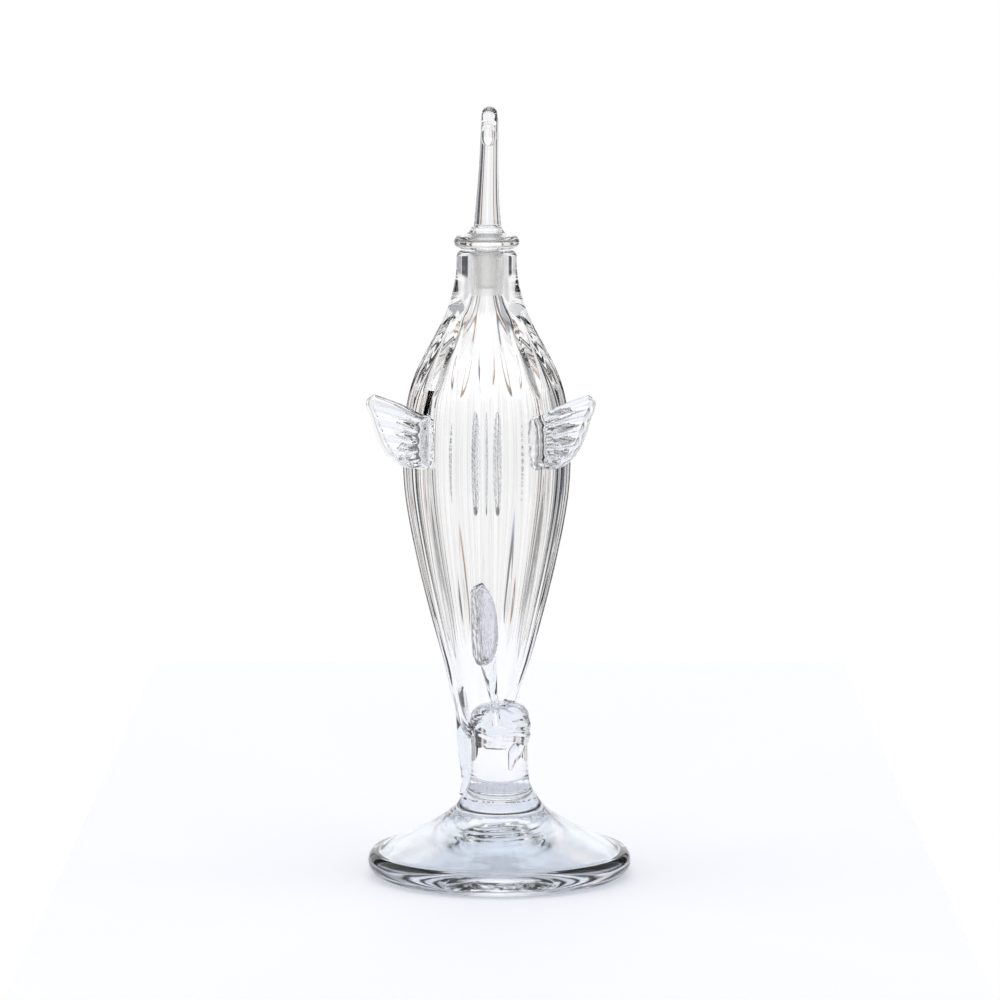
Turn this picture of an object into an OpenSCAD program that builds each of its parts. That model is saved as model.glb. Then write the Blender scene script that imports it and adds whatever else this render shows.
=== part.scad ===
// Footed glass trap bottle with a ground stopper, hot-worked wings and fins.
// The frame: +Z up, -Y is the front, origin at the centre of the foot's resting ring.

/* [Overall] */
// Height of the lip of the bottle above the table
lip_z = 284.7; // [284.7:0.1:285.2]
// How far the bottle's axis stands to the left of the foot's axis
bottle_x = -5.8; // [-7:0.1:-4]
// How far the bottle's axis stands behind the foot's axis
bottle_y = 2; // [0:0.5:4]

/* [Foot] */
// Radius of the foot over its rim
foot_r = 60; // [56:1:64]
// Height of the seam between the foot and the stem
foot_top = 36; // [34:1:38]
// Radius of the solid stem
stem_r = 13; // [12:0.5:14]
// Height of the seam between the stem and the collar
stem_top = 60; // [58:1:62]

/* [Bottle] */
// Number of sharp ribs round the bottle
rib_count = 16; // [8:2:24]
// Depth of the hollow flutes between the ribs
rib_depth = 1.3; // [0.5:0.1:1.6]

/* [Ground joint] */
// Radius of the ground bore at the lip
bore_r = 5.6; // [5.4:0.1:6.4]
// Length of the ground plug
plug_length = 18; // [14:1:20]
// Radius lost for each millimetre of depth
taper = 0.04; // [0.02:0.005:0.05]
// Radial clearance of the plug in the bore
joint_gap = 0.05; // [0.02:0.01:0.1]

/* [Stopper] */
// Radius of the stopper's flange
flange_r = 14.7; // [13:0.1:16]
// Thickness of the flange
flange_thickness = 6; // [5:0.5:7]
// Radius of the finial at its root
finial_r = 6.1; // [5:0.1:6.5]

/* [Fins] */
// Angle of the left wing's root from the front
left_wing_angle = 48; // [42:1:52]
// Angle of the right wing's root from the front
right_wing_angle = 38; // [34:1:44]
// Thickness of a fin's blade
blade_thickness = 4.4; // [3.5:0.1:5.5]

/* [Hidden] */
$fn = 96;

glass = [0.80, 0.86, 0.88, 0.45];
ground_glass = [0.90, 0.91, 0.91, 0.8];

ring_sides = 4 * rib_count; // four facets a rib
bottle_end = 62;            // the bottle's closed end, inside the collar
cavity_end = 65.6;            // the lowest point inside the bottle
collar_top = 79;
collar_y = -0.8;            // the collar was wound a little towards the front
bulge_at = [4.2, -3, 0];    // and ends in a bulge on the right
lip_round = 3;
flange_gap = 0.7;           // between the lip and the flange, so that the cone takes the load
flange_z = lip_z + flange_gap;
step_top = flange_z + flange_thickness + 3.6; // the step that the finial stands on
root_sink = 1.6;            // how deep a fin's root is fused into the wall
edge_thickness = 0.8;       // of a blade at its rim
ridge_share = 0.22;         // how much of a blade's thickness its ridges take
flare_fall = 9;             // how fast a blade's root flare dies out
bore_chamfer = 1;
over_cut = 2;               // how far a cut runs past the face it opens

// ---- outlines, each [radius, height], drawn through by a spline ----

bottle_line = [[7, bottle_end], [10.6, 67], [13, 74], [15.3, 83], [20, 99], [25.5, 118.5], [31, 140.5],
               [35, 160], [37.6, 178], [38.1, 194], [36.8, 212], [33.2, 227], [26.5, 241], [19, 255.3],
               [15.4, 266], [13.7, 276], [lip_round + 10.6, lip_z - lip_round]];
cavity_line = [[4, 66.2], [7.8, 69.2], [10.2, 75], [12.5, 84], [16.8, 98.5], [22.2, 117.5], [27.8, 140.5],
               [31.9, 161], [34.3, 178], [34.8, 194], [33.2, 211], [28.6, 226], [20.4, 238], [11.4, 248],
               [6.2, 257]];
foot_line = [[stem_r + 4, foot_top], [20.5, 31.2], [25.5, 27.2], [33, 22.6], [foot_r - 18, 18.2],
             [foot_r - 10, 14.4], [foot_r - 4, 11.2]];
hollow_line = [[foot_r - 9, 0], [46, 2.2], [38, 5.3], [30, 8.4], [22, 11.3], [15, 13.8], [9, 15.9], [4, 17],
               [0, 17.3]];
stem_line = [[stem_r + 4, foot_top], [15.1, 39.2], [13.9, 43.2], [stem_r, 49]];
collar_line = [[13, stem_top], [13.4, 64], [13.4, 69], [12.6, 74], [9.6, 78]];
bulge_line = [[0, 56.4], [4, 57.6], [7, 61], [8.3, 66.5], [8.2, 71.5], [6.4, 76.6], [3.4, 79.2], [0, 80]];

// ---- curves ----

// Point of a Catmull-Rom spline between b and c
function between(a, b, c, d, t) =
    (2 * b + (c - a) * t + (2 * a - 5 * b + 4 * c - d) * t * t + (3 * b - a - 3 * c + d) * t * t * t) / 2;

// The points, with a smooth curve drawn through them in the given number of steps each
function spline(p, steps) = let (last = len(p) - 1)
    [for (i = [0:last - 1]) for (s = [0:steps - 1])
        between(p[max(i - 1, 0)], p[i], p[i + 1], p[min(i + 2, last)], s / steps), p[last]];

// Points of an arc in the plane
function arc(centre, r, from, to, steps) =
    [for (i = [0:steps]) let (a = from + (to - from) * i / steps) centre + r * [cos(a), sin(a)]];

function ease(x) = let (t = min(max(x, 0), 1)) t * t * (3 - 2 * t);

function swapped(p) = [for (q = p) [q[1], q[0]]];

bottle_profile = concat(spline(bottle_line, 3),
                        arc([10.6, lip_z - lip_round], lip_round, 22.5, 90, 3));
radius_at_height = swapped(spline(bottle_line, 6));

// Outer radius of the bottle over its ribs
function bottle_radius(z) = lookup(z, radius_at_height);

// The ribs die out under the neck and above the collar
function rib_share(z) = ease((258 - z) / 18) * ease((z - 80) / 50);

// Depth below the ribs: 0 on each sharp rib, the first of them at the front, and 1 midway in a flute
function flute(angle) = abs(sin(rib_count * angle / 2));

// ---- solids made of rings of points ----

// Faces that join rings of n points, with both ends closed
function ring_faces(rings, n) = concat(
    [for (j = [0:rings - 2]) for (i = [0:n - 1])
        [j * n + i, j * n + (i + 1) % n, (j + 1) * n + (i + 1) % n, (j + 1) * n + i]],
    [[for (i = [0:n - 1]) n - 1 - i]],
    [[for (i = [0:n - 1]) (rings - 1) * n + i]]);

// The same for flat loops that run out along one face of a blade and back along the other
function blade_faces(rings, n) = concat(
    [for (j = [0:rings - 2]) for (i = [0:n - 1])
        [j * n + i, j * n + (i + 1) % n, (j + 1) * n + (i + 1) % n, (j + 1) * n + i]],
    [for (i = [0:n / 2 - 2]) [n - 1 - i, n - 2 - i, i + 1, i]],
    [for (i = [0:n / 2 - 2]) let (k = (rings - 1) * n) [k + i, k + i + 1, k + n - 2 - i, k + n - 1 - i]]);

function unit(v) = v / norm(v);

// A ring of an oval rod: across is its half width along X, deep its half depth
function rod_ring(path, i, across, deep, sides) =
    let (t = unit(path[min(i + 1, len(path) - 1)] - path[max(i - 1, 0)]),
         a = unit([1, 0, 0] - t[0] * t),
         b = cross(t, a))
    [for (k = [0:sides - 1]) path[i] + across * cos(360 * k / sides) * a + deep * sin(360 * k / sides) * b];

// A rod along a smooth path; each stop is [x, y, z, half width, half depth]
module rod(stops, steps, sides) {
    line = spline(stops, steps);
    path = [for (p = line) [p[0], p[1], p[2]]];
    points = [for (i = [0:len(line) - 1]) each rod_ring(path, i, line[i][3], line[i][4], sides)];
    polyhedron(points, ring_faces(len(line), sides));
}

// ---- foot and stem ----

module foot() {
    rim = 6.4; // the rim is a bead this tall
    color(glass) rotate_extrude()
        polygon(concat([[0, foot_top]], spline(foot_line, 4),
                       arc([foot_r - rim, rim], rim, 55, -90, 8),
                       spline(hollow_line, 4)));
}

module stem() {
    color(glass) rotate_extrude()
        polygon(concat([[0, foot_top]], spline(stem_line, 4), [[stem_r, stem_top], [0, stem_top]]));
}

// The bulge hangs over the stem's right edge; the bottle's closed end and the stem are cut out of the collar
module collar() {
    color(glass) difference() {
        union() {
            translate([0, collar_y, 0]) rotate_extrude()
                polygon(concat([[0, stem_top]], spline(collar_line, 4), [[0, collar_top]]));
            translate(bulge_at) rotate_extrude() polygon(spline(bulge_line, 4));
        }
        cylinder(r = stem_r, h = stem_top);
        translate([bottle_x, bottle_y, 0]) rotate_extrude()
            polygon(concat([[0, bottle_end]], spline(bottle_line, 6), [[0, lip_z]]));
    }
}

module collar_drip() {
    color(glass) rod([[8, -10.4, 61, 3.6, 2.8], [7, -11.8, 57.5, 3.4, 2.4], [5.8, -12.6, 54, 2.1, 1.6],
                      [4.8, -12.8, 50, 0.8, 0.8]], 3, 12);
}

module tail_strap() {
    color(glass) rod([[-17.4, 4, 80, 2.2, 4], [-17.6, 5, 71, 2.6, 5], [-16.6, 5.4, 60, 2.8, 5],
                      [-15.4, 6, 50, 2.8, 4.6], [-14.6, 6.6, 42, 2.9, 4], [-15.4, 7, 35, 3, 3.6]], 3, 12);
}

// ---- bottle ----

function bottle_ring(r, z) =
    [for (i = [0:ring_sides - 1])
        let (a = 360 * i / ring_sides, own = r - rib_depth * rib_share(z) * flute(a))
        [own * sin(a), -own * cos(a), z]];

module ribbed_outside() {
    points = [for (p = bottle_profile) each bottle_ring(p[0], p[1])];
    polyhedron(points, ring_faces(len(bottle_profile), ring_sides));
}

function bore_radius(z) = bore_r - taper * (lip_z - z);

module cavity() {
    bore_end = lip_z - plug_length - 3;
    mouth_r = bore_r + bore_chamfer;
    rotate_extrude()
        polygon(concat([[0, cavity_end]], spline(cavity_line, 4),
                       [[bore_radius(bore_end), bore_end],
                        [bore_radius(lip_z - bore_chamfer), lip_z - bore_chamfer],
                        [mouth_r, lip_z], [mouth_r, lip_z + over_cut], [0, lip_z + over_cut]]));
}

module bottle() {
    color(glass) translate([bottle_x, bottle_y, 0]) difference() {
        ribbed_outside();
        cavity();
    }
}

// ---- fins: ribbed blades pinched out of hot glass ----

// Plan position u millimetres out along a blade that leaves p in direction d0 and turns to d1 over its span
function blade_plan(p, d0, d1, span, u) =
    let (d = d0 + (d1 - d0) * u / span, k = span * 180 / (PI * (d1 - d0)))
    [p[0] + k * (cos(d0) - cos(d)), p[1] - k * (sin(d) - sin(d0))];

// Falls from 1 to 0 in a quarter circle over the last part of the way from 0 to 1
function rounded_end(x, part) = sqrt(max(0, 1 - pow(max(0, x - 1 + part) / part, 2)));

// Half thickness s of the way out and t of the way up: a flared root, round rims and a ridge on each rib
function half_blade(s, t, ribs, flare) =
    let (ridge = 1 - ridge_share * (1 - cos(360 * ribs * t)))
    (edge_thickness + (blade_thickness - edge_thickness) * ridge * rounded_end(s, 0.14) *
        rounded_end(abs(2 * t - 1), 0.16)) / 2 + flare * exp(-flare_fall * s);

// A blade on the bottle's wall at angle at, turning from d0 to d1. low and high are the heights of its root's
// ends, and edge is its rim as points of [distance out, height]
module blade(at, d0, d1, low, high, edge, ribs, flare) {
    out_steps = 10;
    up_steps = 4 * ribs;
    rim = spline(edge, 8);
    span = max([for (p = rim) p[0]]) + root_sink;
    points = [for (j = [0:up_steps])
        let (t = j / up_steps,
             place = t * (len(rim) - 1),
             i = min(floor(place), len(rim) - 2),
             tip = rim[i] + (rim[i + 1] - rim[i]) * (place - i),
             root_z = low + (high - low) * t,
             root_r = bottle_radius(root_z) - root_sink,
             root = [root_r * sin(at), -root_r * cos(at)])
        each [for (k = [0:2 * out_steps + 1])
            let (side = k <= out_steps ? 1 : -1,
                 s = (side > 0 ? k : 2 * out_steps + 1 - k) / out_steps,
                 u = s * (tip[0] + root_sink),
                 plan = blade_plan(root, d0, d1, span, u),
                 d = d0 + (d1 - d0) * u / span,
                 w = side * half_blade(s, t, ribs, flare))
            [plan[0] + w * cos(d), plan[1] + w * sin(d), root_z + (tip[1] - root_z) * s]]];
    color(glass) translate([bottle_x, bottle_y, 0])
        polyhedron(points, blade_faces(up_steps + 1, 2 * out_steps + 2));
}

wing_edge = [[6, 189], [12, 190.4], [18, 194.6], [22.4, 201], [25.4, 208], [28, 215], [29.4, 220.4],
             [26, 223.4]];

module left_wing() { blade(-left_wing_angle, -52, -68, 190, 211, wing_edge, 7, 3); }

module right_wing() { blade(right_wing_angle, 48, 70, 190, 211, wing_edge, 7, 3); }

module back_fin() {
    blade(180, 176, 204, 163, 207, [[4, 159], [11, 163], [16, 172], [18, 184], [16, 197], [9, 209]], 10, 2.4);
}

module front_fin() {
    blade(-12, 20, 74, 102, 133,
          [[3, 98.6], [8, 101], [11.6, 107.5], [12.6, 116], [12, 125], [9.4, 133], [5, 138]], 8, 0.8);
}

module fin_strand() {
    color(glass) rod([[-5.6, -18.8, 102, 3.8, 2.4], [-4.4, -18.2, 95, 3.4, 2.2], [-3.4, -16.6, 88, 3, 2.2],
                      [-2.2, -14.6, 81, 2.6, 2.2], [-1.6, -13, 75, 2.8, 2.4], [-1.4, -12, 71, 3, 2.4]],
                     3, 12);
}

// ---- stopper ----

module stopper_plug() {
    foot_z = lip_z - plug_length;
    color(ground_glass) translate([bottle_x, bottle_y, 0]) rotate_extrude()
        polygon([[0, foot_z], [bore_radius(foot_z + 1) - joint_gap - 1, foot_z],
                 [bore_radius(foot_z + 1) - joint_gap, foot_z + 1], [bore_r - joint_gap, lip_z],
                 [bore_r - joint_gap, flange_z], [0, flange_z]]);
}

module stopper_flange() {
    half = flange_thickness / 2;
    flange_top = flange_z + flange_thickness;
    color(glass) translate([bottle_x, bottle_y, 0]) rotate_extrude()
        polygon(concat([[0, flange_z]], arc([flange_r - half, flange_z + half], half, -90, 75, 8),
                       spline([[9.4, flange_top + 0.4], [7.5, flange_top + 1.6], [6.9, step_top]], 3),
                       [[0, step_top]]));
}

module stopper_finial() {
    color(glass) translate([bottle_x, bottle_y, 0])
        rod([[0.4, 0, step_top, finial_r + 0.4, finial_r + 0.4], [0.4, 0.4, 300, 5.7, 5.7],
             [0.6, 1.9, 312, 4.9, 4.9], [1, 4, 326, 4.3, 4.3], [1.3, 4.6, 337, 4, 4],
             [1.4, 1.6, 344, 3.8, 3.8], [1.3, -3.2, 345.4, 3.6, 3.6], [1, -7, 341.4, 3.3, 3.3]], 4, 16);
}

module finial_tip() {
    color(glass) translate([bottle_x + 0.9, bottle_y - 8, 0]) rotate_extrude()
        polygon(spline([[0, 331.6], [1.8, 331.9], [3.2, 333.8], [3.5, 336.6], [3, 339.6], [1.6, 341.4],
                        [0, 341.8]], 4));
}

foot();
stem();
collar();
collar_drip();
tail_strap();
bottle();
left_wing();
right_wing();
back_fin();
front_fin();
fin_strand();
stopper_plug();
stopper_flange();
stopper_finial();
finial_tip();
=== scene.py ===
# %% [markdown]
# # A hot-worked crystal trap bottle
#
# The real object is made of clear crystal glass, worked hot. A glassmaker blows the bottle in a ribbed
# mould, joins it to a stem and a foot, and adds wings and fins from bits of soft glass. The stopper is a
# separate piece with a ground plug. Glass shows its shape only by what it bends and mirrors, so this
# lesson is about three things: smooth dense meshes, joints that light can't see, and a studio worth
# refracting.
#
# The imported frame comes first. Its boxes give the bottle's axis and the heights where the pieces meet.
# The outlines repeat the part's own stops. The waviness, the knobs, the swirls and the studio were set
# one by one.

# %% Load the frame
import math

import bmesh
import bpy
import numpy as np
from mathutils.bvhtree import BVHTree
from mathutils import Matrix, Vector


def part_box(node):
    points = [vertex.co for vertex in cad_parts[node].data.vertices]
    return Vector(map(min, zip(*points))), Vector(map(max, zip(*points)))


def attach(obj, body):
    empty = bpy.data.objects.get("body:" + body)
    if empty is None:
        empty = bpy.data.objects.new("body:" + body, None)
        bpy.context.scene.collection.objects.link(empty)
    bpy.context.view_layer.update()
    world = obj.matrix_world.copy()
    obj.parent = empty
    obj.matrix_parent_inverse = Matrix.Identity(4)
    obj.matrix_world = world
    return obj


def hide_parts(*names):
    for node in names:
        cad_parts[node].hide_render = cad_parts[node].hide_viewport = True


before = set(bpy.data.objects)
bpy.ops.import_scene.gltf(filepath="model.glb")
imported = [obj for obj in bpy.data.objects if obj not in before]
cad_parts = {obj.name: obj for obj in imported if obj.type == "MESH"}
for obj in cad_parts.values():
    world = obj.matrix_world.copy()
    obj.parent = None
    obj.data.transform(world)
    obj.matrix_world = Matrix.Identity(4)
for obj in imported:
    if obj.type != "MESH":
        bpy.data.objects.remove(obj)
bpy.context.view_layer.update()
MM = 0.001
scene = bpy.context.scene


def box_mm(node):
    """A CAD node's lowest and highest corners, in millimetres."""
    low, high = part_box(node)
    return np.array(low) / MM, np.array(high) / MM


# %% [markdown]
# ## The camera
#
# The bottle is seen from the front and from a little above its top, with a long lens, so its verticals
# stay nearly parallel. From there the foot's top is an open ellipse and the neck is seen almost side on.

# %% Camera
# Places in metres, the tilt in degrees and the lens in millimetres
CAMERA_X = 0.0002
CAMERA_DISTANCE = 2.2
CAMERA_HEIGHT = 0.4418
CAMERA_TILT = 7.005
LENS = 176.4

camera_data = bpy.data.cameras.new("studio camera")
camera_data.lens = LENS
camera = bpy.data.objects.new("studio camera", camera_data)
camera.location = (CAMERA_X, -CAMERA_DISTANCE, CAMERA_HEIGHT)
camera.rotation_euler = (math.radians(90 - CAMERA_TILT), 0, 0)
scene.collection.objects.link(camera)
scene.camera = camera
print("camera at", tuple(round(c, 3) for c in camera.location), "m, tilted", CAMERA_TILT, "degrees down")

# %% [markdown]
# ## Helpers for node trees
#
# One function adds a node, sets it and links it. A colour is written as the sRGB hex value that a painter
# would name, and turned to the linear light that Blender mixes.


# %% Colours and nodes
def linear(hex_colour):
    """An sRGB hex value as linear red, green, blue and alpha."""
    parts = [int(hex_colour[i:i + 2], 16) / 255 for i in (1, 3, 5)]
    return [c / 12.92 if c <= 0.04045 else ((c + 0.055) / 1.055) ** 2.4 for c in parts] + [1.0]


def add(tree, kind, links=None, inputs=None, **settings):
    """Adds a node. links maps its inputs to other nodes' outputs, inputs to plain values."""
    node = tree.nodes.new(kind)
    for name, value in settings.items():
        setattr(node, name, value)
    for name, value in (inputs or {}).items():
        node.inputs[name].default_value = value
    for name, output in (links or {}).items():
        tree.links.new(output, node.inputs[name])
    return node


def new_material(name):
    """An empty node material and its output node."""
    material = bpy.data.materials.new(name)
    material.use_nodes = True
    material.node_tree.nodes.clear()
    return material, material.node_tree.nodes.new("ShaderNodeOutputMaterial")


print("middle grey is", round(linear("#808080")[0], 3), "in linear light")

# %% [markdown]
# ## The studio
#
# Clear glass is a lens, so the room matters more than any lamp. A glass photographer hangs a bright white
# sheet behind the object and stands cards beside it. Light that passes straight through is white. Light
# that the glass bends far comes from the cards, and draws the dark lines that give the shape its edge.
#
# The room is one world shader:
#
# - a dark card at each edge of the sheet, with a grey wall beyond the right one and a pale wall beyond
#   the left one
# - two thin brown cards in front of the sheet, which draw the warm stripes and loops in the body
# - four pale cards in the front half of the room, for soft reflections
# - four soft folds in the sheet, which grade the body's middle
# - a dim gap between the top of the sheet and the ceiling, which darkens the shoulder
#
# Each card's edges are tinted a little, warm on one side and cool on the other. That stands in for
# dispersion, the splitting of colours in real crystal. What the lens sees directly is a plain white
# backdrop.

# %% World
BACKDROP = linear("#FFFFFF")
WHITE = linear("#FFFFFF")
WARM = linear("#E8A860")
COOL = linear("#7F9CC8")
SHEET_LIGHT = 1.22

# Azimuths are in degrees, anticlockwise from +X seen from above: 90 is behind the bottle, seen from the
# front. Each card has its centre, its width and its colour. FRINGE is the width of a card's tinted edge.
CARDS = [(26, 33, "#A6A8AC"), (52, 18, "#38393E"), (68, 4, "#6B5D50"), (112, 2.6, "#85786A"),
         (132, 10, "#404247"), (155, 26, "#D8DADC"),
         (222, 10, "#8A96A2"), (246, 12, "#A8B2BC"), (288, 10, "#A0AAB4"), (340, 10, "#8A96A2")]
FRINGE = 0.8
# A colour ramp holds at most 32 stops, and a card takes six.
CARDS_PER_RAMP = 5
# How bright the sheet is: it dims towards its edges, behind the dark cards.
GLOW = [(50, 1.0), (58, 0.66), (70, 0.86), (90, 1.0), (110, 0.86), (122, 0.68), (130, 1.0)]
# The folds' centres, the share of light left in them, and half their width at the top and at the bottom
FOLDS = [76, 83, 94.5, 101]
FOLD_SHADE = 0.84
FOLD_HALF = 1.6
FOLD_BOTTOM_HALF = 0.5
# Elevations are in degrees above the horizon. The cards show where the first list is 1; the second is
# brightness.
CARD_HEIGHT = [(-18, 0), (-15, 1), (48, 1), (60, 0)]
BRIGHTNESS = [(-90, 0.75), (-4, 0.8), (4, 1.0), (40, 0.9), (44, 0.45), (53, 0.45), (57, 1.0), (90, 0.9)]

world = bpy.data.worlds.new("white studio")
scene.world = world
world.use_nodes = True
tree = world.node_tree
tree.nodes.clear()
direction = add(tree, "ShaderNodeTexCoord").outputs["Generated"]
xyz = add(tree, "ShaderNodeSeparateXYZ", {"Vector": direction})
turn = add(tree, "ShaderNodeMath", {0: xyz.outputs["Y"], 1: xyz.outputs["X"]}, operation="ARCTAN2")
azimuth = add(tree, "ShaderNodeMapRange", {"Value": turn.outputs[0]},
              {"From Min": -math.pi, "From Max": math.pi})
rise = add(tree, "ShaderNodeMath", {0: xyz.outputs["Z"]}, operation="ARCSINE")
elevation = add(tree, "ShaderNodeMapRange", {"Value": rise.outputs[0]},
                {"From Min": -math.pi / 2, "From Max": math.pi / 2})


def ramp(tree, factor, stops):
    """A colour ramp with stops of (position, colour)."""
    node = add(tree, "ShaderNodeValToRGB", {"Fac": factor})
    elements = node.color_ramp.elements
    elements.remove(elements[-1])
    elements[0].position, elements[0].color = stops[0]
    for position, colour in stops[1:]:
        elements.new(position).color = colour
    return node


def around(degrees):
    """The azimuth ramp's position for an angle."""
    return (degrees + 180) % 360 / 360


def card_stops(centre, width, tone):
    """One card on the azimuth ramp: clear, warm fringe, the card, cool fringe, clear."""
    at, half, fringe = around(centre), width / 720, FRINGE / 360
    return [(at - half - fringe, WHITE), (at - half, WARM), (at - half + fringe, linear(tone)),
            (at + half - fringe, linear(tone)), (at + half, COOL), (at + half + fringe, WHITE)]


def card_ramp(cards):
    """The colour that some of the cards give to light from each azimuth."""
    return ramp(tree, azimuth.outputs[0], sorted(stop for card in cards for stop in card_stops(*card)))


def grey(level):
    """A grey of the given linear level."""
    return [level, level, level, 1.0]


def fold_stops(centre):
    """A fold of the hanging sheet on the glow ramp, shaded from how bright the sheet is there."""
    level = float(np.interp(centre, *zip(*GLOW)))
    shade = grey(FOLD_SHADE * level)
    return [(around(centre - FOLD_HALF), grey(level)), (around(centre - FOLD_BOTTOM_HALF), shade),
            (around(centre + FOLD_BOTTOM_HALF), shade), (around(centre + FOLD_HALF), grey(level))]


def height_ramp(levels):
    """A grey ramp over elevation, from pairs of degrees above the horizon and level."""
    stops = [((degrees + 90) / 180, grey(level)) for degrees, level in levels]
    return ramp(tree, elevation.outputs[0], stops)


def times(one, other):
    """The product of two colour outputs."""
    return add(tree, "ShaderNodeMixRGB", {"Color1": one, "Color2": other}, {"Fac": 1.0},
               blend_type="MULTIPLY").outputs[0]


cards = times(card_ramp(CARDS[:CARDS_PER_RAMP]).outputs[0], card_ramp(CARDS[CARDS_PER_RAMP:]).outputs[0])
glow_stops = [(around(degrees), grey(level)) for degrees, level in GLOW]
glow_stops += [stop for fold in FOLDS for stop in fold_stops(fold)]
glow = ramp(tree, azimuth.outputs[0], sorted(glow_stops))
walls = add(tree, "ShaderNodeMixRGB", {"Fac": height_ramp(CARD_HEIGHT).outputs[0], "Color2": cards},
            {"Color1": WHITE})
room = times(times(walls.outputs[0], height_ramp(BRIGHTNESS).outputs[0]), glow.outputs[0])
room_light = add(tree, "ShaderNodeBackground", {"Color": room}, {"Strength": SHEET_LIGHT})
seen = add(tree, "ShaderNodeBackground", inputs={"Color": BACKDROP, "Strength": 1.0})
path = add(tree, "ShaderNodeLightPath")
both = add(tree, "ShaderNodeMixShader", {0: path.outputs["Is Camera Ray"], 1: room_light.outputs[0],
                                        2: seen.outputs[0]})
add(tree, "ShaderNodeOutputWorld", {"Surface": both.outputs[0]})
scene.view_settings.view_transform = "Standard"
scene.cycles.max_bounces = 32
scene.cycles.transmission_bounces = 32
scene.cycles.transparent_max_bounces = 48
print("the studio has", len(CARDS), "cards and", len(FOLDS), "folds in its sheet")

# %% [markdown]
# ## The materials
#
# Crystal is soda or potash glass with lead or barium in it, which lifts its index of refraction from 1.52
# to about 1.54 and makes it sparkle. Where it was blown or drawn, its surface is fire-polished and has no
# roughness. Where tools or boards touched it, it is given a little, which stands in for marks too fine to
# model. All of it keeps a faint waviness, drawn as a low bump. Where the plug is ground into the neck,
# grit has frosted it.
#
# Pieces that are fused hot have no surface between them. Each piece here is still a closed mesh of its
# own, so its faces inside its neighbour get a fused joint: a material that light passes as if nothing
# were there.

# %% Materials
CRYSTAL_IOR = 1.54


def crystal(name, colour, wave_mm, wave_height_mm, stretch=(1, 1, 1), roughness=0.0):
    """Clear glass with a faint waviness. wave_mm is the size of its waves."""
    material, output = new_material(name)
    tree = material.node_tree
    place = add(tree, "ShaderNodeTexCoord").outputs["Object"]
    place = add(tree, "ShaderNodeMapping", {"Vector": place}, {"Scale": stretch}).outputs[0]
    waves = add(tree, "ShaderNodeTexNoise", {"Vector": place},
                {"Scale": 1 / (wave_mm * MM), "Detail": 1.0, "Roughness": 0.4})
    bump = add(tree, "ShaderNodeBump", {"Height": waves.outputs["Fac"]},
               {"Strength": 1.0, "Distance": wave_height_mm * MM})
    shader = add(tree, "ShaderNodeBsdfPrincipled", {"Normal": bump.outputs[0]},
                 {"Base Color": linear(colour), "Roughness": roughness, "IOR": CRYSTAL_IOR,
                  "Transmission Weight": 1.0})
    tree.links.new(shader.outputs[0], output.inputs["Surface"])
    return material


# Blown and touched by no tool: perfectly clear, with very low waves drawn out along the bottle
blown = crystal("mouth-blown crystal", "#FFFFFF", 4, 0.015, (1, 1, 0.12))
# Spun between wet boards: broad waves, and a thickness that shows the glass's faint blue
spun = crystal("spun foot crystal", "#EAF0F8", 16, 0.15, roughness=0.06)
# Pinched with jacks: small close waves that break up what is seen through it
pinched = crystal("pinched crystal", "#F6F8FB", 2.4, 0.08, roughness=0.04)
# Wound on hot and pressed: the same small waves, and a softer look
wound_glass = crystal("wound collar crystal", "#EEF1F6", 2.4, 0.08, roughness=0.10)
# Combed along its length: fine streaks, and the softest of the clear surfaces
leaf_glass = crystal("tooled leaf crystal", "#E8E9F2", 1.6, 0.10, (1, 1, 0.2), 0.2)
# Drawn out as a rod: clear, with long waves
drawn = crystal("drawn crystal rod", "#FFFFFF", 6, 0.04, (1, 1, 0.3))


def ground(name, grit_mm):
    """Crystal ground with grit: frosted, with a fine grain. Real grit is 0.1 mm, drawn coarser to show."""
    material, output = new_material(name)
    tree = material.node_tree
    place = add(tree, "ShaderNodeTexCoord").outputs["Object"]
    grain = add(tree, "ShaderNodeTexNoise", {"Vector": place},
                {"Scale": 1 / (grit_mm * MM), "Detail": 3.0, "Roughness": 0.7})
    bump = add(tree, "ShaderNodeBump", {"Height": grain.outputs["Fac"]},
               {"Strength": 0.5, "Distance": 0.2 * grit_mm * MM})
    shader = add(tree, "ShaderNodeBsdfPrincipled", {"Normal": bump.outputs[0]},
                 {"Base Color": linear("#FAFAF8"), "Roughness": 0.42, "IOR": CRYSTAL_IOR,
                  "Transmission Weight": 1.0})
    tree.links.new(shader.outputs[0], output.inputs["Surface"])
    return material


frosted = ground("ground glass", 0.4)
fused, fused_output = new_material("fused joint")
nothing = add(fused.node_tree, "ShaderNodeBsdfPrincipled", inputs={"Base Color": WHITE, "Alpha": 0.0})
fused.node_tree.links.new(nothing.outputs[0], fused_output.inputs["Surface"])
print("crystal bends light with an index of", CRYSTAL_IOR)

# %% [markdown]
# ## Curves and meshes
#
# Refraction doubles every flaw in a surface, so outlines are natural cubic splines: their curvature runs
# on through each stop, where a simpler curve would leave a faint kink. Each outline has only the stops
# that its shape needs, and is then cut into short steps, from 0.2 mm on a fin's rim to 2.2 mm inside the
# bottle.


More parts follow.
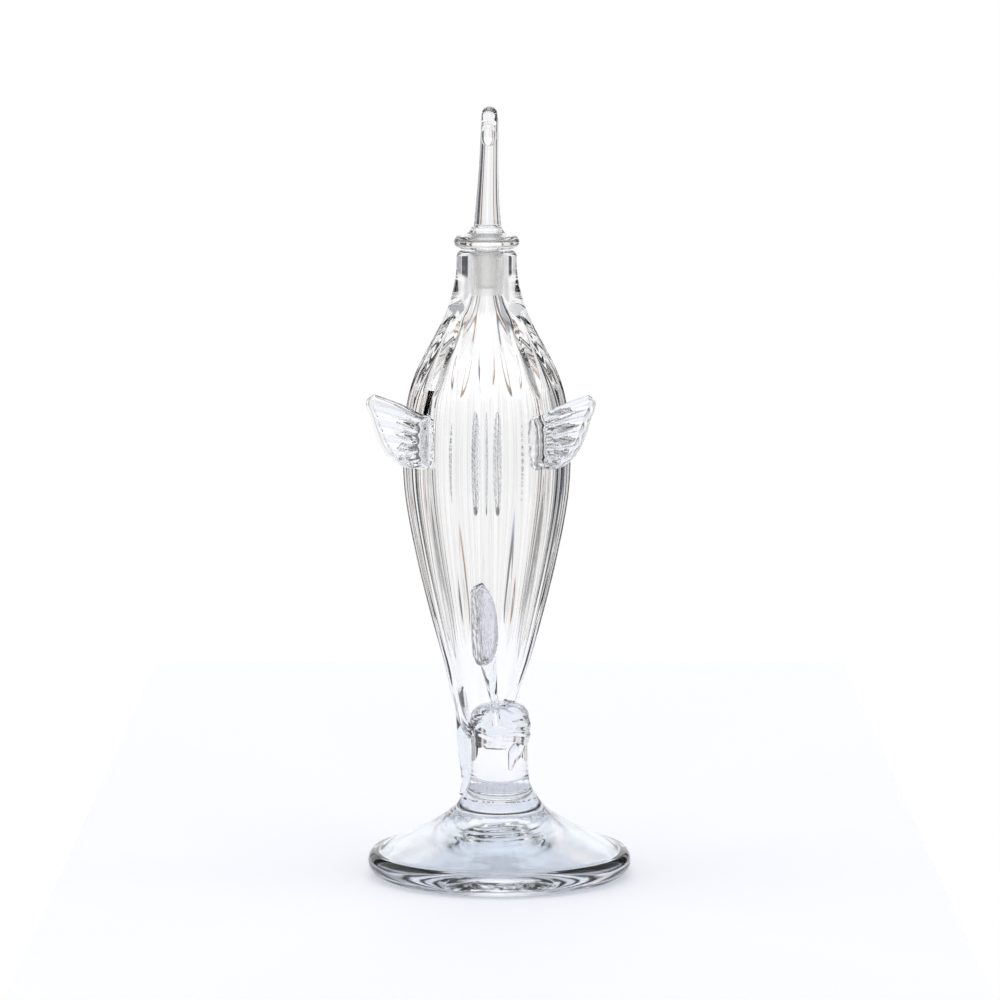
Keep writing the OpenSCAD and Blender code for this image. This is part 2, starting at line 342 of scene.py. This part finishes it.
# %% Curves
def curve(stops, spacing):
    """Points about every `spacing` along a natural cubic spline through the stops."""
    p = np.array(stops, float)
    run = np.r_[0, np.cumsum(np.linalg.norm(np.diff(p[:, :3], axis=0), axis=1))]
    gap, last = np.diff(run), len(p) - 1
    matrix, right = np.eye(last + 1), np.zeros_like(p)
    for i in range(1, last):
        matrix[i, i - 1:i + 2] = gap[i - 1], 2 * (gap[i - 1] + gap[i]), gap[i]
        right[i] = 6 * ((p[i + 1] - p[i]) / gap[i] - (p[i] - p[i - 1]) / gap[i - 1])
    bend = np.linalg.solve(matrix, right)
    s = np.linspace(0, run[-1], max(3, round(run[-1] / spacing) + 1))
    i = np.clip(np.searchsorted(run, s, "right") - 1, 0, last - 1)
    on, back, k = (s - run[i])[:, None], (run[i + 1] - s)[:, None], gap[i][:, None]
    return ((bend[i] * back ** 3 + bend[i + 1] * on ** 3) / (6 * k)
            + (p[i] / k - bend[i] * k / 6) * back + (p[i + 1] / k - bend[i + 1] * k / 6) * on)


def arc(centre, radius, start, end, steps):
    """Points of an arc in the plane of an outline, angles in degrees."""
    a = np.radians(np.linspace(start, end, steps + 1))
    return np.c_[centre[0] + radius * np.cos(a), centre[1] + radius * np.sin(a)]


def ease(x):
    """0 below 0, 1 above 1, and smooth between."""
    x = np.clip(x, 0, 1)
    return x * x * (3 - 2 * x)


def revolve(outline, sides, centre, shape=None):
    """Points and faces of an outline of [radius, height] that starts and ends on the axis, turned round it.
    Angle 0 faces the front and 90 degrees the right. shape(r, z, angle) may change the radius."""
    r, z = outline[1:-1, 0][:, None], outline[1:-1, 1][:, None]
    angle = (np.arange(sides) * 2 * math.pi / sides)[None, :]
    full = shape(r, z, angle) if shape else r + 0 * angle
    centre = np.broadcast_to(np.asarray(centre, float), (len(outline), 2))
    x = centre[1:-1, 0:1] + full * np.sin(angle)
    y = centre[1:-1, 1:2] - full * np.cos(angle)
    rings = np.stack([x, y, z + 0 * angle], axis=2).reshape(-1, 3)
    ends = [[*centre[0], outline[0, 1]], [*centre[-1], outline[-1, 1]]]
    return np.vstack([rings, ends]), ring_faces(len(outline) - 2, sides)


def ring_faces(rings, sides):
    """Quads between the rings, and fans to the two end points that come after them."""
    k = np.arange(sides)
    after = (k + 1) % sides
    start = (np.arange(rings - 1) * sides)[:, None]
    above = start + sides
    quads = np.stack([start + k, start + after, above + after, above + k], axis=2).reshape(-1, 4)
    first, last, top = rings * sides, rings * sides + 1, (rings - 1) * sides
    return (quads.tolist() + [[first, b, a] for a, b in zip(k.tolist(), after.tolist())]
            + [[last, top + a, top + b] for a, b in zip(k.tolist(), after.tolist())])


def rod(stops, spacing, sides, lobes=0.0, twist=0.0):
    """A rod with bluntly pointed ends along a curve of stops [x, y, z, half width, half depth]. lobes
    pinches the middle of its section, and twist turns the section, in degrees from end to end."""
    line = curve(stops, spacing)
    path, run = line[:, :3], np.linspace(0, 1, len(line))
    ahead = np.gradient(path, axis=0)
    ahead /= np.linalg.norm(ahead, axis=1)[:, None]
    side = np.zeros_like(ahead)
    side[0] = np.array([1, 0, 0]) - ahead[0, 0] * ahead[0]
    for i in range(1, len(line)):
        side[i] = side[i - 1] - np.dot(side[i - 1], ahead[i]) * ahead[i]
        side[i] /= np.linalg.norm(side[i])
    side[0] /= np.linalg.norm(side[0])
    up = np.cross(ahead, side)
    angle = (np.arange(sides) * 2 * math.pi / sides)[None, :]
    turned = angle + np.radians(twist) * run[:, None]
    pinch = 1 - lobes * np.sin(angle) ** 2
    across = line[:, 3:4] * np.cos(angle) * pinch
    deep = line[:, 4:5] * np.sin(angle) * pinch
    spin = turned - angle
    a, b = across * np.cos(spin) - deep * np.sin(spin), across * np.sin(spin) + deep * np.cos(spin)
    rings = path[:, None, :] + a[:, :, None] * side[:, None, :] + b[:, :, None] * up[:, None, :]
    ends = [path[0] - ahead[0] * line[0, 4] * 0.5, path[-1] + ahead[-1] * line[-1, 4] * 0.5]
    return np.vstack([rings.reshape(-1, 3), ends]), ring_faces(len(line), sides)


print("a spline through 3 stops gives", len(curve([[0, 0], [5, 1], [10, 0]], 1)), "points, 1 mm apart")

# %% [markdown]
# ## Making a piece
#
# Every piece is made the same way: a closed mesh, shaded smooth except at true corners, with two
# materials. The first is its own glass, and the second is the fused joint, which no face has until the
# pieces are fused.

# %% Piece
# Edges that turn by more degrees than this stay sharp.
SEAM_ANGLE = 50
FUSED_SLOT = 1


def make_piece(name, node, shape, material, body="bottle"):
    """One closed, smooth mesh in millimetres that stands for a CAD node and rides on its body."""
    points, faces = shape
    mesh = bpy.data.meshes.new(name)
    mesh.from_pydata((points * MM).tolist(), [], faces)
    shell = bmesh.new()
    shell.from_mesh(mesh)
    bmesh.ops.remove_doubles(shell, verts=shell.verts, dist=1e-7)
    bmesh.ops.recalc_face_normals(shell, faces=shell.faces)
    shell.to_mesh(mesh)
    shell.free()
    mesh.shade_smooth()
    mesh.set_sharp_from_angle(angle=math.radians(SEAM_ANGLE))
    mesh.materials.append(material)
    mesh.materials.append(fused)
    piece = bpy.data.objects.new(name, mesh)
    scene.collection.objects.link(piece)
    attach(piece, body)
    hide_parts(node)
    print(f"{name}: {len(mesh.polygons)} faces")
    return piece


# %% [markdown]
# ## The foot
#
# A foot starts as a gather dropped on the stem's end. The maker squeezes it between wet boards and spins
# it, so it spreads into a disc with a rounded rim. Its underside is pushed up into a dome, so that only a
# ring rests on the table. Seen from above, light crosses the top, the dome and the table, which is why a
# foot shows rings and a hill. It is revolved, and low waves round its rim keep it from looking turned on
# a lathe. Swirls under its middle stand for the mark of the punty, the rod that held it while it was
# finished.

# %% Foot
foot_high = box_mm("foot")[1]
FOOT_R = foot_high[0]
FOOT_TOP = foot_high[2]
STEM_R = 13.0
RIM = 6.4

foot_outline = np.vstack([
    [[0, FOOT_TOP + 1]], [[8, FOOT_TOP + 1]], [[STEM_R + 2.4, FOOT_TOP + 0.8]],
    curve([[STEM_R + 4, FOOT_TOP], [20.5, 31.2], [25.5, 27.2], [33, 22.6], [42, 18.2], [50, 14.4],
           [56.3, 11.3]], 0.8),
    arc((FOOT_R - RIM, RIM), RIM, 52, -90, 20),
    curve([[52.6, 0], [51, 0.2], [49, 0.9], [46, 2.2], [38, 5.3], [30, 8.4], [22, 11.3], [15, 13.8],
           [9, 15.9], [4, 17], [0, 17.3]], 0.8)])


def spun_waves(r, z, angle):
    """The foot's radius with the low waves of a spun rim and, underneath, the swirls that the punty left."""
    share = ease((r - 30) / 30)
    rim_waves = 0.0020 + 0.0016 * np.sin(2 * angle + 0.6) + 0.0008 * np.sin(5 * angle)
    under = np.where((z < 18) & (r < 30), ease((26 - r) / 10) * ease(r / 5), 0)
    swirls = 0.28 * np.sin(r * 1.5 + 1.6 * np.sin(2 * angle + 0.5)) + 0.4 * np.sin(3 * angle + r * 0.4)
    return r * (1 - share * rim_waves) + under * swirls


foot = make_piece("foot", "foot", revolve(foot_outline, 256, (0, 0), spun_waves), spun)

# %% [markdown]
# ## The stem
#
# The stem is solid, so it is the strongest lens on the piece: a rod of glass turns what is behind it left
# for right. It is revolved, and its lower end runs on into the foot without a crease.

# %% Stem
STEM_TOP = box_mm("stem")[1][2]

stem_outline = np.vstack([
    [[0, FOOT_TOP - 1]], [[8, FOOT_TOP - 1]], [[STEM_R + 2.4, FOOT_TOP - 0.8]],
    curve([[STEM_R + 4, FOOT_TOP], [15.1, 39.2], [13.9, 43.2], [STEM_R + 0.1, 49], [STEM_R, 55],
           [STEM_R, STEM_TOP + 0.6]], 0.6),
    [[STEM_R - 2, STEM_TOP + 1.6]], [[0, STEM_TOP + 1.8]]])


def marvered(r, z, angle):
    """The stem's radius, a little out of round from being rolled on the marver."""
    return r * (1 + 0.006 * np.sin(2 * angle + 0.9) * ease((z - FOOT_TOP) / 8))


stem = make_piece("stem", "stem", revolve(stem_outline, 128, (0, 0), marvered), drawn)

# %% [markdown]
# ## The bottle
#
# The bottle is blown in an optic mould, a cup with ribs inside, and then in the open. It comes out with
# hollow flutes that meet in sharp ribs. On the shoulder each rib widens upward into a smooth tongue, so
# the flutes end in points between the tongues. The neck is thick and smooth, and its bore is ground to a
# cone for the plug.
#
# Inside and outside are one closed mesh, since glass needs both surfaces: the wall bends light in and out
# again. The ribs are a formula of angle and height, and the mesh has twenty faces round for each of them.

# %% Bottle
plug_low, plug_high = box_mm("stopper_plug")
bottle_low, bottle_high = box_mm("bottle")
AXIS = (plug_low[:2] + plug_high[:2]) / 2
LIP_Z = bottle_high[2]
LIP_ROUND = 3.0
NECK_R = 13.6
RIBS = 16
RIB_DEPTH = 1.3
FACES_PER_RIB = 20
# The heights between which the ribs widen into tongues
TONGUE_LOW = 221.0
TONGUE_HIGH = 256.0
BORE_R = 5.6
# Radius that the bore loses for each millimetre of depth
TAPER = 0.04
PLUG_END = plug_low[2]
BORE_SLOT = 2

outside = np.vstack([
    curve([[7, bottle_low[2]], [10.6, 67], [13, 74], [15.3, 83], [20, 99], [25.5, 118.5], [31, 140.5],
           [35, 160], [37.6, 178], [38.1, 194], [36.8, 212], [33.2, 227], [26.5, 241], [19, 255.3],
           [15.4, 266], [13.7, 276], [NECK_R, LIP_Z - LIP_ROUND]], 1.1),
    arc((NECK_R - LIP_ROUND, LIP_Z - LIP_ROUND), LIP_ROUND, 8, 90, 8)])
bore = np.array([[BORE_R + 1.2, LIP_Z], [BORE_R + 0.5, LIP_Z - 0.2], [BORE_R - TAPER, LIP_Z - 1],
                 [BORE_R - TAPER * 12, LIP_Z - 12], [BORE_R - TAPER * (LIP_Z - PLUG_END + 3), PLUG_END - 3]])
cavity = curve([bore[-1], [6.2, 257], [11.4, 248], [20.4, 238], [28.6, 226], [33.2, 211], [34.8, 194],
                [34.3, 178], [31.9, 161], [27.8, 140.5], [22.2, 117.5], [16.8, 98.5], [12.5, 84], [10.2, 75],
                [7.8, 69.2], [4, 66.2], [0, 65.6]], 2.2)[1:]
bottle_outline = np.vstack([[[0, bottle_low[2] - 0.3]], outside, bore, cavity])
is_outside = (np.arange(len(bottle_outline)) <= len(outside))[1:-1, None]
# Below 100 mm the axis bends 1.2 mm to the left, towards the strap.
bottle_axis = AXIS + np.outer(ease((100 - bottle_outline[:, 1]) / 22), [-1.2, 0])


def wall_radius(z):
    """The bottle's outer radius over its ribs."""
    return np.interp(z, outside[:, 1], outside[:, 0])


def optic_ribs(r, z, angle):
    """The bottle's radius: hollow flutes between sharp ribs. On the shoulder each rib widens upward into a
    smooth tongue, and the flutes narrow between the tongues."""
    share = ease((TONGUE_HIGH + 4 - z) / 34) * ease((z - 80) / 50)
    from_middle = np.abs((RIBS * angle / math.pi) % 2 - 1)
    tongue = 0.62 * np.sqrt(np.clip((z - TONGUE_LOW) / (TONGUE_HIGH - TONGUE_LOW), 0, 1))
    across = np.clip(from_middle / (1 - tongue), 0, 1)
    hollow = np.sqrt(np.cos(0.5 * math.pi * across) ** 2 + 0.014 + 0.02 * ease((z - 215) / 20))
    sway = 0.05 * np.sin(3 * angle + z * 0.05) + 0.03 * np.sin(5 * angle - z * 0.08)
    return np.where(is_outside, r - RIB_DEPTH * share * hollow, r + sway * ease((r - 8) / 12))


bottle = make_piece(
    "bottle", "bottle", revolve(bottle_outline, RIBS * FACES_PER_RIB, bottle_axis, optic_ribs), blown)
bottle.data.materials.append(frosted)
for face in bottle.data.polygons:
    middle = face.center / MM
    radius = math.hypot(middle.x - AXIS[0], middle.y - AXIS[1])
    if radius < BORE_R + 0.3 and PLUG_END - 1.5 < middle.z < LIP_Z - 0.5:
        face.material_index = BORE_SLOT
print("wall at the belly:", round(outside[:, 0].max() - cavity[:, 0].max(), 1), "mm")

# %% [markdown]
# ## The collar, its drip and the tail strap
#
# The collar hides the joint of bottle and stem. A gather is wound once round it while both turn, so it is
# a lumpy ring: thick where the winding started, on the right, and marked by spiral ridges. The end of the
# winding is pulled off and leaves a drip. On the left a strap of glass runs from the bottle's lower end
# to the foot.

# %% Collar
# The collar was wound a little towards the front.
COLLAR_AXIS = (0.0, -0.8)

collar_outline = np.vstack([
    [[0, STEM_TOP - 1.6]], [[9, STEM_TOP - 1.4]], [[STEM_R - 1.4, STEM_TOP - 0.8]],
    curve([[STEM_R, STEM_TOP], [13.4, 64], [13.4, 69], [12.6, 74], [9.6, 78], [6, 79.2]], 0.5), [[0, 79.4]]])


def wound(r, z, angle):
    """The collar's radius: a bulge on the right and the ridges of the winding."""
    bulge = 0.6 * np.exp(-((angle - 1.75) / 0.8) ** 2) * ease((z - 60) / 4) * ease((82 - z) / 8)
    ridges = 0.16 * np.sin(z * 1.25 + angle * 3.0 + 0.9 * np.sin(3 * angle)) * ease((z - 61) / 3)
    dents = 0.12 * np.sin(9 * angle + z * 0.9) * ease((z - 63) / 3)
    return r + bulge * np.minimum(1, r / 10) + (ridges + dents) * ease((r - 5) / 5)


collar = make_piece("collar", "collar", revolve(collar_outline, 192, COLLAR_AXIS, wound), wound_glass)

# %% [markdown]
# The bulge, the drip and the strap are the winding's loose ends. The bulge is a lump with low folds,
# revolved on an axis of its own. The drip and the strap were pulled while soft, so each is a rod whose
# section changes along it.

# %% Bulge, drip and strap
BULGE_AXIS = (4.2, -3.0)

bulge_outline = curve([[0, 56.4], [4, 57.6], [7, 61], [8.3, 66.5], [8.2, 71.5], [6.4, 76.6], [3.4, 79.2],
                       [0, 80]], 0.5)


def pulled(r, z, angle):
    """The bulge's radius with the folds that the winding left."""
    folds = 0.02 * np.sin(z * 0.7 + 2 * angle) + 0.010 * np.sin(7 * angle + z * 1.1) * np.sin(z * 0.9)
    return r * (1 + folds)


bulge = make_piece("collar_bulge", "collar", revolve(bulge_outline, 128, BULGE_AXIS, pulled), wound_glass)
drip = make_piece("collar_drip", "collar_drip", rod(
    [[8, -10.4, 61, 3.6, 2.8], [7, -11.8, 57.5, 3.4, 2.4], [5.8, -12.6, 54, 2.1, 1.6],
     [4.8, -12.8, 50, 0.8, 0.8]], 0.4, 48), wound_glass)
strap = make_piece("tail_strap", "tail_strap", rod(
    [[-17.6, 3, 84, 2.2, 4.5], [-17.2, 3.5, 77, 2.8, 5.5], [-16.8, 4.2, 70, 3, 5.6],
     [-16.4, 5.2, 60, 2.8, 5.2], [-15.4, 6, 50, 2.8, 4.6], [-14.6, 6.6, 42, 2.9, 4],
     [-15.4, 7, 35, 3, 3.6]], 0.5, 64), wound_glass)

# %% [markdown]
# ## Wings and fins
#
# Each wing is a bit of soft glass pressed on to the wall, pulled out and pinched flat with ribbed jacks.
# The jacks leave long hollow cells with veins of glass between them, and surface tension gathers the rim
# into a bead. Where it meets the wall the glass wets it and spreads, so the root flares into an oval pad.
#
# How thick each blade is comes from a formula. All three take the same values: s, the share of the way
# out; t, the share of the way up; u and z, the millimetres out and up; and side, 1 or -1 for the two
# faces.

# %% How thick the blades are
WING_CELLS = 7
FIN_ROWS = 14


def lumps(u, z, size):
    """Smooth bumps from -1 to 1, about `size` mm across, for the knobbly places that no tool touched."""
    k = math.pi / size
    return (np.sin(k * (u * 0.9 + z * 0.5) + 1.3 * np.sin(k * z * 0.45))
            * np.sin(k * (z * 0.8 - u * 0.6) + 1.1 * np.sin(k * u * 0.5 + 0.7)))


def winglet(s, t, u, z, side, pits=0.0):
    """Half the thickness of a wing: cells and veins, pits as deep as asked, and a knobbly lower part."""
    cell = WING_CELLS * t ** 0.85 + 0.25 * np.sin(2.2 * s + 4 * t) - 0.12
    wave = 0.5 + 0.5 * np.cos(2 * math.pi * cell)
    floor = 0.7 + 0.6 * ease((8 - u) / 6)
    vein = 1.0 * wave * (0.3 + 0.7 * ease((u - 4) / 5))
    pit = pits * 1.2 * (1 - wave) * np.exp(-((u - 9 - 1.5 * np.sin(5 * t)) / 1.9) ** 2)
    rough = 0.30 * lumps(u + 3 * side, z, 3.2) * ease((0.42 - t) / 0.2)
    return floor + vein - pit + rough


def pitted_winglet(s, t, u, z, side):
    """The same with a row of pits between its veins, where the jacks bit deeper."""
    return winglet(s, t, u, z, side, pits=1.0)


def leaf(s, t, u, z, side):
    """Half the thickness of a leaf: a wedge, thicker below, drawn out in streaks along its length."""
    streak = 0.10 * np.sin(2 * math.pi * u / 1.9 + 1.4 * np.sin(z * 0.35))
    streak = streak + 0.08 * lumps(u * 2.2, z * 0.5, 1.6)
    return 1.9 - 1.1 * t + streak


def serrated(s, t, u, z, side):
    """Half the thickness of the back fin: rows of knobs, where the jacks bit right up to the rim."""
    row = 0.5 + 0.5 * np.cos(2 * math.pi * FIN_ROWS * t)
    return 1.5 + 0.9 * row * (0.6 + 0.4 * np.sin(u * 1.5) ** 2) + 0.15 * lumps(u, z, 2.0)


print("a wing has", WING_CELLS, "cells and the back fin", FIN_ROWS, "rows of knobs")

# %% [markdown]
# A blade is two grids of points, one for each face, that meet round the rim. It leaves the wall in one
# direction and bends to another by its tip. The steps are closer together near the rim, where the surface
# turns fastest.

# %% A blade
# How deep a root goes into the wall, how far its pad spreads up and down, and how far the middle lifts,
# in mm
ROOT_SINK = 1.6
PAD_SPREAD = 1.2
LIFT = 0.8
UP_STEPS = 144
OUT_STEPS = 56


def blade(at, heading, low, high, rim, thickness, bead, flare, fall=4.5):
    """A pinched blade. at is its root's angle round the wall, heading its direction at the root and at the
    tip, low and high its root's ends, and rim its outline as [distance out, height]. bead is its rim's
    radius, and flare and fall say how thick its root's pad is and how far out it reaches."""
    t = (1 - np.cos(np.linspace(0, math.pi, UP_STEPS + 1))) / 2
    t = (0.5 * t + 0.5 * np.linspace(0, 1, UP_STEPS + 1))[:, None]
    s = np.sin(np.linspace(0, math.pi / 2, OUT_STEPS + 1))[None, :]
    s = 0.5 * s + 0.5 * np.linspace(0, 1, OUT_STEPS + 1)[None, :]
    edge = curve(rim, 0.2)
    along = np.linspace(0, 1, len(edge))
    far = np.interp(t, along, edge[:, 0]) + ROOT_SINK
    tip_z = np.interp(t, along, edge[:, 1])
    u = s * far
    root_z = low + (high - low) * t
    spread = np.clip(1 - (u - ROOT_SINK) / fall, 0, 1) ** 3
    z = root_z + (tip_z - root_z) * s + (LIFT * np.sin(math.pi * s) + PAD_SPREAD * spread) * (2 * t - 1)
    start, a0, a1 = wall_radius(root_z) - ROOT_SINK, math.radians(at), np.radians(heading)
    turn = a1[0] + (a1[1] - a1[0]) * u / far.max()
    bend = far.max() / (a1[1] - a1[0])
    x = start * math.sin(a0) + bend * (math.cos(a1[0]) - np.cos(turn))
    y = -start * math.cos(a0) - bend * (np.sin(turn) - math.sin(a1[0]))
    tall = np.abs(tip_z[-1] - tip_z[0]) * s + (high - low) * (1 - s)
    near = np.minimum(np.minimum(t, 1 - t) * tall, (1 - s) * far)
    rounded = np.sqrt(1 - (1 - np.clip(near / bead, 0, 1)) ** 2)
    inner = ease((near - bead * 0.9) / 2.0)
    grids = []
    for side in (1, -1):
        web = thickness(s, t, u, z, side)
        w = rounded * (bead * (1 - inner) + web * inner)
        w = w + flare * spread * np.sqrt(np.clip(1 - (2 * t - 1) ** 2, 0, 1))
        across = AXIS[0] + x + side * w * np.cos(turn)
        back = AXIS[1] + y + side * w * np.sin(turn)
        grids.append(np.stack([across, back, z], axis=2).reshape(-1, 3))
    rows, columns = t.shape[0], s.shape[1]
    grid = np.arange(rows * columns).reshape(rows, columns)
    quads = np.stack([grid[:-1, :-1], grid[:-1, 1:], grid[1:, 1:], grid[1:, :-1]], axis=2).reshape(-1, 4)
    other = quads[:, ::-1] + rows * columns
    lower, upper = grid[:-1, 0], grid[1:, 0]
    root = np.stack([lower, upper, upper + rows * columns, lower + rows * columns], axis=1)
    return np.vstack(grids), quads.tolist() + other.tolist() + root.tolist()


print("a blade has", 2 * UP_STEPS * OUT_STEPS, "faces on its two sides")

# %% [markdown]
# The wings share one rim and one root height. They differ in where they leave the wall and how far they
# turn, since each was pulled out by hand, and the right one has pits.

# %% The two wings
WING_RIM = [[6, 189], [12, 190.4], [18, 194.6], [22.4, 201], [25.4, 208], [28, 215], [29.4, 220.4],
            [26, 223.4]]
WING_LOW = 190
WING_HIGH = 211
left_wing = make_piece("left_wing", "left_wing", blade(
    -48, (-52, -68), WING_LOW, WING_HIGH, WING_RIM, winglet, bead=2.0, flare=4.4, fall=4.4), pinched)
right_wing = make_piece("right_wing", "right_wing", blade(
    38, (48, 70), WING_LOW, WING_HIGH, WING_RIM, pitted_winglet, bead=2.0, flare=4.4, fall=4.4), pinched)

# %% [markdown]
# The back fin stands upright and is knobbed all over. The small front fin is a leaf, and a strand of
# glass was twisted on its way down from the leaf to the collar.

# %% Fins and strand
back_fin = make_piece("back_fin", "back_fin", blade(
    180, (176, 204), 163, 207, [[4, 159], [11, 163], [16, 172], [18, 184], [16, 197], [9, 209]], serrated,
    bead=2.0, flare=4.0), pinched)
front_fin = make_piece("front_fin", "front_fin", blade(
    -12, (20, 74), 102, 133,
    [[3, 98.6], [8, 101], [11.6, 107.5], [12.6, 116], [12, 125], [9.4, 133], [5, 138]],
    leaf, bead=1.4, flare=0.9), leaf_glass)
strand = make_piece("fin_strand", "fin_strand", rod(
    [[-5.6, -18.8, 102, 3.8, 2.4], [-4.4, -18.2, 95, 3.4, 2.2], [-3.4, -16.6, 88, 3, 2.2],
     [-2.2, -14.6, 81, 2.6, 2.2], [-1.6, -13, 75, 2.8, 2.4], [-1.4, -12, 71, 3, 2.4]],
    0.4, 64, lobes=0.22, twist=110), pinched)

# %% [markdown]
# ## The stopper
#
# The stopper is the one part that comes away. Its plug is ground with grit until it seats in the neck.
# Above it is a flange that was pressed flat while hot, and a rod that was drawn out, bent over and left
# with a bead.

# %% Stopper
flange_low, flange_high = box_mm("stopper_flange")
FLANGE_R = flange_high[0] - AXIS[0]
FLANGE_Z = flange_low[2]
STEP_TOP = flange_high[2]
# Half the flange's thickness, and the clearance between plug and bore
FLANGE_HALF = 3.0
GAP = 0.05

plug = make_piece("stopper_plug", "stopper_plug", revolve(np.vstack([
    [[0, PLUG_END]], [[3.2, PLUG_END]], arc((4.05, PLUG_END + 0.8), 0.8, -90, 0, 4),
    [[BORE_R - GAP - TAPER * 9, LIP_Z - 9]], [[BORE_R - GAP - TAPER, LIP_Z - 1]], [[BORE_R - GAP, FLANGE_Z]],
    [[BORE_R - GAP, FLANGE_Z + 1]], [[0, FLANGE_Z + 1.2]]]), 96, AXIS), frosted, "stopper")
flange = make_piece("stopper_flange", "stopper_flange", revolve(np.vstack([
    [[0, FLANGE_Z]], [[6, FLANGE_Z]], [[FLANGE_R - FLANGE_HALF - 1, FLANGE_Z]],
    arc((FLANGE_R - FLANGE_HALF, FLANGE_Z + FLANGE_HALF), FLANGE_HALF, -90, 82, 20),
    curve([[11, FLANGE_Z + 6.1], [9.4, FLANGE_Z + 6.5], [7.9, FLANGE_Z + 7.5], [7.2, FLANGE_Z + 8.8],
           [6.9, STEP_TOP - 0.3]], 0.4),
    [[6.5, STEP_TOP]], [[0, STEP_TOP + 0.1]]]), 192, AXIS), drawn, "stopper")

# %% [markdown]
# The finial is one rod along a curve that rises, leans back, bends over to the front and turns down. Its
# bead is the last drop of glass, revolved.

# %% Finial
finial_rise = [(0.4, 0, STEP_TOP - 1.5, 6.5, 6.5), (0.4, 0.1, STEP_TOP, 6.3, 6.3),
               (0.4, 0.5, 301, 5.7, 5.7), (0.6, 1.9, 312, 4.9, 4.9), (1, 4, 326, 4.3, 4.3),
               (1.3, 4.6, 337, 4, 4), (1.4, 1.6, 344, 3.8, 3.8), (1.3, -3.2, 345.4, 3.6, 3.6),
               (1, -7, 341.4, 3.3, 3.3)]
finial = make_piece("stopper_finial", "stopper_finial", rod(
    [[AXIS[0] + x, AXIS[1] + y, z, w, d] for x, y, z, w, d in finial_rise], 0.5, 72), drawn, "stopper")
bead = make_piece("finial_tip", "finial_tip", revolve(
    curve([[0, 331.6], [1.8, 331.9], [3.2, 333.8], [3.5, 336.6], [3, 339.6], [1.6, 341.4], [0, 341.8]], 0.3),
    64, (AXIS[0] + 0.9, AXIS[1] - 8)), drawn, "stopper")

# %% [markdown]
# ## Fusing the joints
#
# Now each piece's buried faces are found and given the fused joint. A face is buried if its middle is
# inside a neighbour on the same body: the nearest point of the neighbour's surface then looks away from
# it.

# %% Fuse
def bury(piece, neighbour, tree):
    """Marks the piece's faces that are inside the neighbour, and returns how many there are."""
    corners = np.array([v.co for v in neighbour.data.vertices])
    low, high = corners.min(0), corners.max(0)
    count = 0
    for face in piece.data.polygons:
        middle = face.center
        if all(low[i] < middle[i] < high[i] for i in range(3)) and face.material_index != FUSED_SLOT:
            spot, normal, _, _ = tree.find_nearest(middle)
            if (middle - spot).dot(normal) < 0:
                face.material_index = FUSED_SLOT
                count += 1
    return count


def fuse(pieces):
    """Marks all buried faces among pieces of one body."""
    trees = {}
    for p in pieces:
        corners = [v.co for v in p.data.vertices]
        trees[p.name] = BVHTree.FromPolygons(corners, [f.vertices for f in p.data.polygons])
    total = sum(bury(p, q, trees[q.name]) for p in pieces for q in pieces if p is not q)
    print("fused joints:", total, "faces between", len(pieces), "pieces")


fuse([foot, stem, bottle, collar, bulge, drip, strap, left_wing, right_wing, back_fin, front_fin, strand])
fuse([plug, flange, finial, bead])

# %% [markdown]
# ## The table
#
# The bottle stands on a plain pale light table, 0.4 m wide, whose far edge is 0.62 m behind it. Its top
# is milky acrylic with a little light coming up through it, so that it stays bright. Through the glass it
# shows bent and slightly darker. Its faint mottling is 2.5 mm across.

# %% Table
# Metres. The top is a hair below the foot, so that the two surfaces don't coincide.
TABLE_HALF = 0.2
TABLE_BACK = 0.62
TABLE_FRONT = -0.68
TABLE_TOP = -0.0002
MOTTLE_MM = 2.5
acrylic, acrylic_output = new_material("milky acrylic")
grain = add(acrylic.node_tree, "ShaderNodeTexNoise",
            {"Vector": add(acrylic.node_tree, "ShaderNodeTexCoord").outputs["Object"]},
            {"Scale": 1 / (MOTTLE_MM * MM), "Detail": 2.0})
tint = ramp(acrylic.node_tree, grain.outputs["Fac"], [(0.3, linear("#F4F5FA")), (0.7, linear("#F7F8FC"))])
matt = add(acrylic.node_tree, "ShaderNodeBsdfPrincipled", {"Base Color": tint.outputs[0]},
           {"Roughness": 0.8, "Emission Color": linear("#F6F7FF"), "Emission Strength": 0.23})
acrylic.node_tree.links.new(matt.outputs[0], acrylic_output.inputs["Surface"])
table_mesh = bpy.data.meshes.new("table")
table_corners = [(-TABLE_HALF, TABLE_FRONT, 0), (TABLE_HALF, TABLE_FRONT, 0), (TABLE_HALF, TABLE_BACK, 0),
                 (-TABLE_HALF, TABLE_BACK, 0)]
table_mesh.from_pydata(table_corners, [], [(0, 1, 2, 3)])
table_mesh.materials.append(acrylic)
table = bpy.data.objects.new("table", table_mesh)
table.location = (0, 0, TABLE_TOP)
scene.collection.objects.link(table)
print("table", 2 * TABLE_HALF, "m wide and", round(TABLE_BACK - TABLE_FRONT, 2), "m deep")
